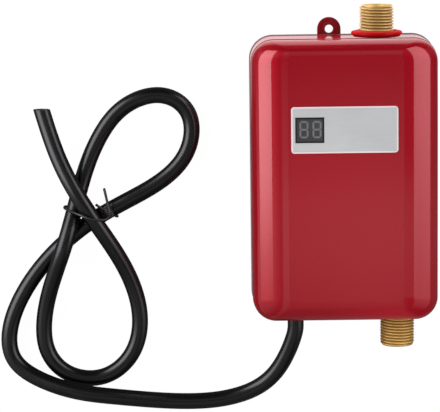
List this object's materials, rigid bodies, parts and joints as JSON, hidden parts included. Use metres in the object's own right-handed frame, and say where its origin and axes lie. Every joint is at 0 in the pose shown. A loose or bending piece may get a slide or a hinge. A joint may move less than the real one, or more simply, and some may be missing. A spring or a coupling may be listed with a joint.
{
  "type": "tankless electric water heater",
  "caption": "Flat wall-hung electric water heater with threaded brass outlet and inlet, display label and a supply cord; it heats water as it flows through.",
  "frame": {"origin": "on the back plate's back face, midway across the housing and midway between the fittings' ends; the heater lies on its back", "axes": "+X across the front to the side with the fittings, +Y from the cold inlet to the hot outlet, +Z from the back plate to the front face"},
  "size_m": [0.2702, 0.2522, 0.0503],
  "materials": {
    "crimson_plastic": "glossy moulded plastic",
    "seal_rubber": "matt grey",
    "screw_steel": "zinc plated",
    "label_silver": "satin silver-grey",
    "window_smoke": "dark smoked pane",
    "display_black": "matt black",
    "board_green": "lacquered board",
    "parts_dark": "matt dark",
    "fitting_brass": "turned brass",
    "ring_red": "bright red",
    "washer_rubber": "matt black",
    "filter_steel": "perforated steel",
    "switch_plastic": "ivory",
    "magnet_grey": "coated",
    "spring_steel": "spring wire",
    "reed_glass": "clear glass",
    "tank_steel": "stainless",
    "cap_plastic": "heat-proof black",
    "element_steel": "dull stainless",
    "saddle_aluminium": "plain",
    "cutout_brown": "brown moulded",
    "cord_black": "satin black",
    "clamp_ivory": "ivory",
    "terminal_white": "white",
    "core_brown": "brown sleeve",
    "core_blue": "blue sleeve",
    "core_green": "green and yellow sleeve",
    "lead_white": "white heat-proof sleeve",
    "lead_red": "red sleeve",
    "tie_black": "coated wire"
  },
  "bodies": {
    "heater": {"front_cover": "crimson_plastic", "rear_cover": "crimson_plastic", "casing_seal": "seal_rubber", "casing_screws": "screw_steel", "display_label": "label_silver", "display_window": "window_smoke", "display_module": "display_black", "control_board": "board_green", "board_parts": "parts_dark", "board_screws": "screw_steel", "outlet_fitting": "fitting_brass", "inlet_fitting": "fitting_brass", "outlet_ring": "ring_red", "fitting_washers": "washer_rubber", "inlet_filter": "filter_steel", "flow_housing": "switch_plastic", "piston_spring": "spring_steel", "reed_switch": "reed_glass", "heating_tank": "tank_steel", "inlet_cap": "cap_plastic", "outlet_cap": "cap_plastic", "heating_element": "element_steel", "temperature_probe": "filter_steel", "tank_straps": "tank_steel", "strap_screws": "screw_steel", "cooling_saddle": "saddle_aluminium", "thermal_cutout": "cutout_brown", "power_triac": "parts_dark", "cord_grommet": "washer_rubber", "cord_tail": "cord_black", "cord_clamp": "clamp_ivory", "clamp_screws": "screw_steel", "terminal_block": "terminal_white", "live_core": "core_brown", "neutral_core": "core_blue", "earth_core": "core_green", "heater_leads": "lead_white", "sensor_leads": "lead_red", "power_cord": "cord_black", "cord_tie": "tie_black"},
    "flow_piston": {"flow_piston": "switch_plastic", "piston_magnet": "magnet_grey"}
  },
  "joints": [
    {"name": "piston_slide", "type": "slide", "parent": "heater", "child": "flow_piston", "axis": [0, 1, 0], "range_m": [0, 0.005], "stiffness_N_per_m": 60, "springref_m": -0.002, "deforming": ["piston_spring"]}
  ]
}
